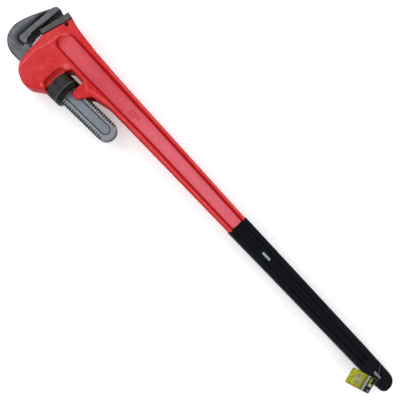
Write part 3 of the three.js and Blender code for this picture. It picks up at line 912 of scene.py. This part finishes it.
card_piece = carve(
    "hang_tag_card",
    card,
    ([(-57, 0.6), (7,)], [(-21.6, 0.6), (21.6,)], [(-2.1, 0.14), (0.9,)]),
    0.6,
    {
        "edge": lambda x, y, z: ease(1 + card_outline(x, y) / 1.5),
        "across": lambda x, y, z: x,
        "down": lambda x, y, z: y,
        "front": lambda x, y, z: ease((z - card_curl(x, y)) / 0.2 + 0.5),
    },
    card_place,
)
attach(card_piece, "tag")
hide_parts("hang_tag")

# ---- Materials ----


class Look:
    """A procedural material, made one node at a time. Lengths in it are in millimetres."""

    def __init__(self, name):
        self.material = bpy.data.materials.new(name)
        self.material.use_nodes = True
        self.tree = self.material.node_tree
        self.shader = self.tree.nodes["Principled BSDF"]
        self.marks = {}
        self.colour = None
        metres = self.node("ShaderNodeTexCoord").outputs["Object"]
        self.place = self.vector("MULTIPLY", metres, (1000, 1000, 1000))

    def put(self, socket, value):
        """Links an output or a stored mark to a socket, or sets it to a number or a colour."""
        if isinstance(value, str):
            if value not in self.marks:
                attribute = self.node("ShaderNodeAttribute")
                attribute.attribute_name = value
                self.marks[value] = attribute.outputs["Fac"]
            value = self.marks[value]
        if isinstance(value, bpy.types.NodeSocket):
            self.tree.links.new(value, socket)
        elif socket.type == "RGBA":
            socket.default_value = (*value, 1)
        else:
            socket.default_value = value

    def node(self, kind, *values):
        """A new node of a kind, with its first inputs linked or set."""
        node = self.tree.nodes.new(kind)
        for socket, value in zip(node.inputs, values):
            self.put(socket, value)
        return node

    def vector(self, operation, *values):
        node = self.node("ShaderNodeVectorMath", *values)
        node.operation = operation
        return node.outputs[0]

    def math(self, operation, *values):
        node = self.node("ShaderNodeMath", *values)
        node.operation = operation
        return node.outputs[0]

    def product(self, first, *others):
        for other in others:
            first = self.math("MULTIPLY", first, other)
        return first

    def total(self, first, *others):
        for other in others:
            first = self.math("ADD", first, other)
        return first

    def noise(self, size, detail, stretch=(1, 1, 1)):
        """Noise whose lumps are a size across, or longer where it is stretched."""
        place = self.vector("DIVIDE", self.place, stretch)
        return self.node("ShaderNodeTexNoise", place, 0, 1 / size, detail).outputs["Fac"]

    def cells(self, size):
        """Distance from the middle of the nearest of many small cells."""
        return self.node("ShaderNodeTexVoronoi", self.place, 0, 1 / size).outputs["Distance"]

    def rise(self, value, low, high, start=0, end=1):
        """From start to end, with level ends, as a value goes from low to high."""
        node = self.node("ShaderNodeMapRange", value, low, high, start, end)
        node.interpolation_type = "SMOOTHSTEP"
        return node.outputs[0]

    def lumps(self, size, detail, low, high, start=0, end=1):
        """Noise, with its middle values spread out from start to end."""
        return self.rise(self.noise(size, detail), low, high, start, end)

    def mix(self, share, first, second):
        node = self.node("ShaderNodeMix", share)
        node.data_type = "RGBA"
        self.put(node.inputs[6], first)
        self.put(node.inputs[7], second)
        return node.outputs[2]

    def over(self, tone, *shares):
        """Lays a tone over the colour so far, by the product of the shares."""
        self.colour = self.mix(self.product(*shares), self.colour, tone)

    def bar(self, x, y, middle, half, soft):
        """1 within a bar's half length and half width of its middle, 0 outside it."""
        share = 1
        for value, centre, reach in zip((x, y), middle, half):
            away = self.math("ABSOLUTE", self.math("SUBTRACT", value, centre))
            share = self.product(self.rise(away, reach + soft, reach - soft), share)
        return share

    def spot(self, x, y, middle, radius, soft):
        away = [self.math("SUBTRACT", value, centre) for value, centre in zip((x, y), middle)]
        squares = self.total(*(self.product(a, a) for a in away))
        return self.rise(self.math("SQRT", squares), radius + soft, radius - soft)

    def bump(self, *heights):
        """Bends the light as if the surface stood up by the heights, each a product, together."""
        bump = self.node("ShaderNodeBump")
        self.put(bump.inputs["Distance"], 0.001)
        self.put(bump.inputs["Height"], self.total(*(self.product(*height) for height in heights)))
        self.put(self.shader.inputs["Normal"], bump.outputs["Normal"])

    def finish(self, *pieces, **sockets):
        """Sets the shader's colour and the sockets named, and gives the material to the pieces."""
        self.put(self.shader.inputs["Base Color"], self.colour)
        for name, value in sockets.items():
            self.put(self.shader.inputs[name.replace("_", " ")], value)
        for piece in pieces:
            piece.data.materials.clear()
            piece.data.materials.append(self.material)


def red_paint(piece):
    """Glossy enamel over a sand casting, thin on the edges, with painted shade on steep faces,
    walls and hollows and painted highlights on the web, flanges and rims.
    """
    look = Look("red_paint")
    mottle = look.noise(9, 4)
    look.colour = look.mix(look.lumps(60, 2, 0.35, 0.65), RED["deep"], RED["plain"])
    look.over(RED["pale"], look.rise(mottle, 0.45, 0.75, 0, 0.45))
    # painted highlight: the pale pink web tone over the channel's floor
    look.over(RED["web"], "web", look.lumps(5, 5, 0.35, 0.65, 0.75, 1))
    # painted shade: the darkest red along the channel's walls and the relief's wall
    look.over(RED["painted_shade_red"], look.math("MAXIMUM", "wall", "relief"), 0.85)
    # painted shade: steep faces turn to the dark side tone
    look.over(RED["side"], look.rise("level", 0, 0.35, 0.9, 0))
    # painted shade: the darkest red in the hollows
    look.over(RED["painted_shade_red"], look.rise("hollow", 0.15, 0.9, 0, 0.6))
    # painted highlight: the light rubbed tone along the bevel's crease and the relief's rim
    look.over(RED["rubbed"], "ring", look.lumps(10, 2, 0.3, 0.6, 0.3, 0.75))
    # painted highlight: a light streak down the middle of each flange
    look.over(RED["painted_highlight_red"], "flange", look.lumps(16, 3, 0.3, 0.6, 0.35, 0.8))
    look.over(RED["rubbed"], look.rise("edge", 0.3, 0.8), look.lumps(12, 3, 0.35, 0.65), 0.15)
    chip = look.product(look.rise("edge", 0.62, 0.72), look.lumps(3, 5, 0.66, 0.69))
    look.over(RED["iron"], chip)
    look.bump((look.noise(2.6, 4), 0.16), (look.noise(14, 2), 0.5), (chip, -0.12))
    roughness = look.total(
        look.rise(mottle, 0.3, 0.7, 0.3, 0.46),
        look.product(chip, 0.25),
        look.rise("level", 0, 0.6, 0.3, 0),
    )
    look.finish(
        piece, Roughness=roughness, Specular_IOR_Level=0.06, Coat_Weight=0.14, Coat_Roughness=0.08
    )


def black_vinyl(piece):
    """Dipped vinyl: a soft sheen, fine pores, dust in the channel and a plain pale bar."""
    look = Look("black_vinyl")
    x, y, z = look.node("ShaderNodeSeparateXYZ", look.place).outputs
    look.colour = look.mix(look.lumps(35, 3, 0.35, 0.7), VINYL["deep"], VINYL["plain"])
    dust = look.rise("hollow", 0, 0.7, 0.35, 1)
    look.over(VINYL["dust"], look.lumps(5, 5, 0.5, 0.75), dust, 0.3)
    look.over(VINYL["scuffed"], look.rise("edge", 0.35, 0.8), look.lumps(7, 4, 0.48, 0.7), 0.35)
    bar = look.bar(x, y, BAR_MIDDLE, BAR_HALF, 0.35)
    worn = look.lumps(1.6, 4, 0.36, 0.46)
    bar = look.product(bar, look.math("GREATER_THAN", z, MIDDLE_HEIGHT), "level", worn)
    look.over(VINYL["bar"], bar)
    pores = look.rise(look.cells(0.9), 0.1, 0.6)
    look.bump((pores, 0.05), (look.noise(22, 2), 0.7), (bar, 0.04))
    look.finish(piece, Roughness=look.lumps(4, 4, 0.3, 0.7, 0.42, 0.6), Specular_IOR_Level=0.12)


def steel(name, piece, tones, shine, regions=(), bright_edges=0.5, extra_bump=None):
    """Forged steel: ground level faces, sides in painted shade, oxide in the hollows and rubbed
    edges.

    The tones are linear colours, the shine is the roughness of a plain face, and each region is a
    stored mark, the colour that it blends to and how much of it."""
    look = Look(name)
    look.colour = look.mix(look.lumps(18, 4, 0.32, 0.68), tones["deep"], tones["plain"])
    grain = look.noise(1.3, 4, (14, 1, 1))
    look.over(tones["pale"], look.rise(grain, 0.42, 0.72, 0, 0.55))
    # painted shade: faces that turn away from level get the dark side tone
    look.over(tones["side"], look.rise("level", 0.1, 0.95, 1, 0))
    for mark, tone, share in regions:
        look.over(tone, mark, share)
    look.over(tones["side"], look.lumps(2.2, 5, 0.56, 0.68), 0.35)
    dark = look.rise("hollow", 0.12, 0.75, 0, 0.85)
    look.over(tones["oxide"], dark)
    rubbed = look.lumps(6, 4, 0.3, 0.6)
    look.over(tones["bright"], look.rise("edge", 0.3, 0.75), rubbed, bright_edges)
    heights = [(grain, 0.05), (look.noise(1.1, 4), 0.07), (look.noise(8, 3), 0.35)]
    if extra_bump:
        mark, height = extra_bump
        heights.append((mark, look.noise(1.8, 3), height))
    look.bump(*heights)
    uneven = look.lumps(5, 4, 0.3, 0.7, shine - 0.07, shine + 0.09)
    roughness = look.total(uneven, look.product(dark, 0.2))
    look.finish(piece, Roughness=roughness, Metallic=tones["metal"], Specular_IOR_Level=0.2)


def swept_steel(name, pieces, tones):
    """Plain drawn steel for wire, strip and pins, with light scratches and dark spots."""
    look = Look(name)
    look.colour = look.mix(look.lumps(5, 4, 0.35, 0.65), tones["deep"], tones["plain"])
    scratch = look.noise(0.5, 3, (20, 1, 1))
    look.over(tones["pale"], look.rise(scratch, 0.55, 0.75, 0, 0.6))
    spots = look.lumps(1.4, 4, 0.6, 0.7)
    look.over(tones["oxide"], spots)
    look.bump((scratch, 0.02), (spots, -0.02))
    look.finish(*pieces, Roughness=look.lumps(2, 3, 0.3, 0.7, 0.3, 0.5), Metallic=tones["metal"])


def nylon(name, pieces, tones):
    """Smoked nylon with mould flow marks."""
    look = Look(name)
    flow = look.noise(1.5, 3, (3, 1, 1))
    look.colour = look.mix(look.rise(flow, 0.35, 0.65), tones["plain"], tones["pale"])
    look.over(tones["dirt"], look.lumps(4, 4, 0.55, 0.75, 0, 0.4))
    look.bump((flow, 0.03))
    look.finish(
        *pieces, Roughness=look.rise(flow, 0.3, 0.7, 0.34, 0.5), Subsurface_Weight=0.15,
        Subsurface_Scale=0.001, Specular_IOR_Level=0.3,
    )


def tag_card(piece):
    """Printed card: plain yellow, bars and blots on its face, bare board on its back, and painted
    shade along its edges.
    """
    look = Look("tag_card")
    uneven = look.lumps(7, 4, 0.38, 0.62)
    look.colour = look.mix(uneven, CARD["yellow"], CARD["lemon"])
    look.over(CARD["ochre"], look.rise("across", -42, -20, 0, 0.6), uneven)
    for middle, radius, soft, tone, share in CARD_SPOTS:
        look.over(CARD[tone], look.spot("across", "down", middle, radius, soft), share)
    for middle, half, soft, tone in CARD_BARS:
        look.over(CARD[tone], look.bar("across", "down", middle, half, soft))
    fibre = look.noise(0.5, 4, (5, 2, 1))
    back = look.mix(look.rise(fibre, 0.35, 0.65), CARD["board"], CARD["board_dark"])
    look.colour = look.mix("front", back, look.colour)
    # painted shade: a dark line along the card's edges, broken by the fibre
    look.over(CARD["painted_edge_shade"], look.rise("edge", 0.1, 0.7), look.rise(fibre, 0.2, 0.5), 0.85)
    along_crease = look.total("across", look.product("down", 0.25), CREASE_PLACE)
    crease = look.rise(look.math("ABSOLUTE", along_crease), 0.7, 0)
    look.bump((fibre, 0.03), (crease, -0.12))
    look.finish(piece, Roughness=look.lumps(3, 3, 0.3, 0.7, 0.32, 0.5), Specular_IOR_Level=0.2)


# Linear tones of the red paint. The side tone and the darkest tone are painted shade; the web tone
# and the flange streak's tone are painted highlights; the rubbed tone is edge wear and also a
# painted highlight along the ring.
RED = {
    "deep": (0.55, 0.019, 0.021), "plain": (0.59, 0.034, 0.037), "pale": (0.65, 0.066, 0.074),
    "painted_shade_red": (0.47, 0.003, 0.004), "side": (0.40, 0.003, 0.004), "rubbed": (0.72, 0.13, 0.14),
    "painted_highlight_red": (0.72, 0.095, 0.09), "iron": (0.10, 0.085, 0.08), "web": (0.78, 0.155, 0.20),
}
VINYL = {
    "deep": (0.0005, 0.0012, 0.003), "plain": (0.0015, 0.0026, 0.005),
    "dust": (0.012, 0.014, 0.018), "scuffed": (0.012, 0.013, 0.016), "bar": (0.40, 0.44, 0.50),
}
MIDDLE_HEIGHT = NUT_RADIUS  # of the wrench's middle plane over the floor
bar_corners = row([(783, -0.5, 0), (807.5, 5.3, 0)])[:, :2] * 1000
BAR_MIDDLE, BAR_HALF = bar_corners.mean(axis=0), (bar_corners[1] - bar_corners[0]) / 2
# Linear tones of the forged steels. Their side tone is painted shade for faces that turn away from
# level.
FORGED = {
    "deep": (0.095, 0.099, 0.11), "plain": (0.135, 0.14, 0.152), "pale": (0.20, 0.205, 0.22),
    "side": (0.014, 0.014, 0.017), "oxide": (0.006, 0.006, 0.007), "bright": (0.30, 0.31, 0.34),
    "metal": 0.55,
}
HEEL = {
    "deep": (0.068, 0.066, 0.063), "plain": (0.098, 0.093, 0.090), "pale": (0.14, 0.135, 0.13),
    "side": (0.014, 0.014, 0.014), "oxide": (0.006, 0.006, 0.006), "bright": (0.22, 0.22, 0.215),
    "metal": 0.5,
}
BLACKENED = {
    "deep": (0.012, 0.011, 0.011), "plain": (0.034, 0.031, 0.030), "pale": (0.075, 0.07, 0.067),
    "side": (0.005, 0.004, 0.004), "oxide": (0.003, 0.003, 0.003), "bright": (0.16, 0.152, 0.145),
    "metal": 0.5,
}
WIRE = {
    "deep": (0.10, 0.105, 0.12), "plain": (0.20, 0.205, 0.22), "pale": (0.42, 0.43, 0.45),
    "oxide": (0.05, 0.035, 0.028), "metal": 0.9,
}
DARK_PIN = {
    "deep": (0.012, 0.012, 0.013), "plain": (0.022, 0.022, 0.024), "pale": (0.06, 0.06, 0.062),
    "oxide": (0.008, 0.007, 0.007), "metal": 0.6,
}
HEAD_NYLON = {"plain": (0.14, 0.14, 0.15), "pale": (0.24, 0.24, 0.26), "dirt": (0.05, 0.05, 0.05)}
STRAP_NYLON = {
    "plain": (0.016, 0.016, 0.018), "pale": (0.05, 0.05, 0.055), "dirt": (0.010, 0.010, 0.010),
}
CARD = {
    "yellow": (0.26, 0.25, 0.003), "lemon": (0.42, 0.43, 0.01), "ochre": (0.13, 0.105, 0.005),
    "green": (0.16, 0.20, 0.12), "grey": (0.26, 0.28, 0.29), "red": (0.34, 0.03, 0.015),
    "black": (0.004, 0.003, 0.003), "board": (0.55, 0.54, 0.50), "board_dark": (0.42, 0.41, 0.37),
    "painted_edge_shade": (0.05, 0.05, 0.02), "blue_grey": (0.12, 0.12, 0.13),
}
CREASE_PLACE = 31.0  # from the tag's hole to the crease across it
CARD_SPOTS = [  # middle, radius, softness, tone, share
    ((-33, 1), 9.5, 5, "grey", 0.4),
    ((-34.5, 8.8), 5, 3, "green", 0.85),
    ((-33, -7.7), 5, 3, "green", 0.8),
    ((-34.2, -16.8), 2.6, 1.6, "red", 0.9),
    ((-45.6, -15.9), 2.2, 1.2, "black", 0.6),
]
CARD_BARS = [  # middle, half lengths, softness, tone
    ((-17, 0), (2.5, 21), 1, "ochre"),
    ((-12.2, 0), (2.3, 21), 0.5, "grey"),
    ((-2, 0), (7.2, 19.6), 0.4, "black"),
    ((-4, 6.2), (2.2, 9.9), 0.4, "yellow"),
    ((1, -14.5), (3.5, 2.5), 0.8, "blue_grey"),
]

red_paint(handle_body)
black_vinyl(grip_piece)
steel("forged_steel", hook_piece, FORGED, 0.42, [
    ("panel", (0.27, 0.31, 0.35), 0.75),
    # partly oxide, partly painted shade: darker the deeper into the hollow behind the tooth block
    ("sunk", (0.022, 0.023, 0.027), 0.9),
    ("thread", (0.31, 0.32, 0.34), 0.85),
    # painted shade: near black along the hook's rounded back edge
    ("rim", (0.008, 0.008, 0.010), 0.85),
    # painted shade: black on the toothed face between the jaws and in the throat
    ("gap", (0, 0, 0), 1),
], 0.12, ("thread", 0.5))
steel("heel_steel", heel_piece, HEEL, 0.46, bright_edges=0.15)
steel("blackened_steel", nut_piece, BLACKENED, 0.4, [
    # painted highlight: a light band round the nut near its back
    ("ridge", (0.13, 0.125, 0.12), 0.6),
    ("thread", (0.012, 0.012, 0.012), 0.9),
], 0.45)
swept_steel("spring_steel", [coil_piece, leaf_piece], WIRE)
swept_steel("dark_pin_steel", [pin_piece], DARK_PIN)
nylon("head_nylon", [head_piece], HEAD_NYLON)
nylon("strap_nylon", [loop_piece, tail_piece], STRAP_NYLON)
tag_card(card_piece)

# ---- Floor and light ----

FLOOR_REACH = 40  # metres from the middle to each side
nut_foot = row([(185, 0, -NUT_RADIUS)])[0]
grip_foot = row([(LENGTH - 20, 0, -HANDLE_HALF - COAT)])[0]
floor_slope = (grip_foot[2] - nut_foot[2]) / (grip_foot[0] - nut_foot[0])
floor_mesh = bpy.data.meshes.new("floor")
floor_corners = FLOOR_REACH * np.array([(-1, -1), (1, -1), (1, 1), (-1, 1)])
floor_points = [(x, y, nut_foot[2] + floor_slope * (x - nut_foot[0])) for x, y in floor_corners]
floor_mesh.from_pydata(floor_points, [], [(0, 1, 2, 3)])
floor = new_object("floor", floor_mesh)
floor_look = Look("pale_floor")
floor_look.colour = floor_look.mix(floor_look.noise(300, 2), (0.90,) * 3, (0.93,) * 3)
floor_look.finish(floor, Roughness=0.9, Emission_Color=(1, 1, 1), Emission_Strength=0.28)

# The room's brightness by height: soft boxes all round, a dim horizon and a dim ceiling.
SKY_GREYS = [(0, 0.5), (0.34, 1.5), (0.68, 1.6), (0.84, 0.5), (1, 0.32)]
SKY_TINT = (0.96, 0.98, 1, 1)
KEY_SIZE, KEY_ENERGY, KEY_PLACE = 1.4, 8, (-1.9, -0.2, 1.9)

world = bpy.data.worlds.new("soft_room")
bpy.context.scene.world = world
world.use_nodes = True
sky = world.node_tree
upward = sky.nodes.new("ShaderNodeSeparateXYZ")
sky.links.new(sky.nodes.new("ShaderNodeTexCoord").outputs["Generated"], upward.inputs[0])
brightness = sky.nodes.new("ShaderNodeValToRGB")
sky_stops = brightness.color_ramp.elements
for height, _ in SKY_GREYS[1:-1]:
    sky_stops.new(height)
for stop, (_, grey) in zip(sky_stops, SKY_GREYS):
    stop.color = (grey, grey, grey, 1)
sky.links.new(upward.outputs[2], brightness.inputs["Fac"])
sky.nodes["Background"].inputs["Color"].default_value = SKY_TINT
sky.links.new(brightness.outputs[0], sky.nodes["Background"].inputs["Strength"])

key_data = bpy.data.lights.new("key", "AREA")
key_data.size = KEY_SIZE
key_data.energy = KEY_ENERGY
key = bpy.data.objects.new("key", key_data)
key.location = KEY_PLACE
key.rotation_euler = (AIM - key.location).to_track_quat("-Z", "Y").to_euler()
bpy.context.scene.collection.objects.link(key)
bpy.context.scene.view_settings.view_transform = "Standard"
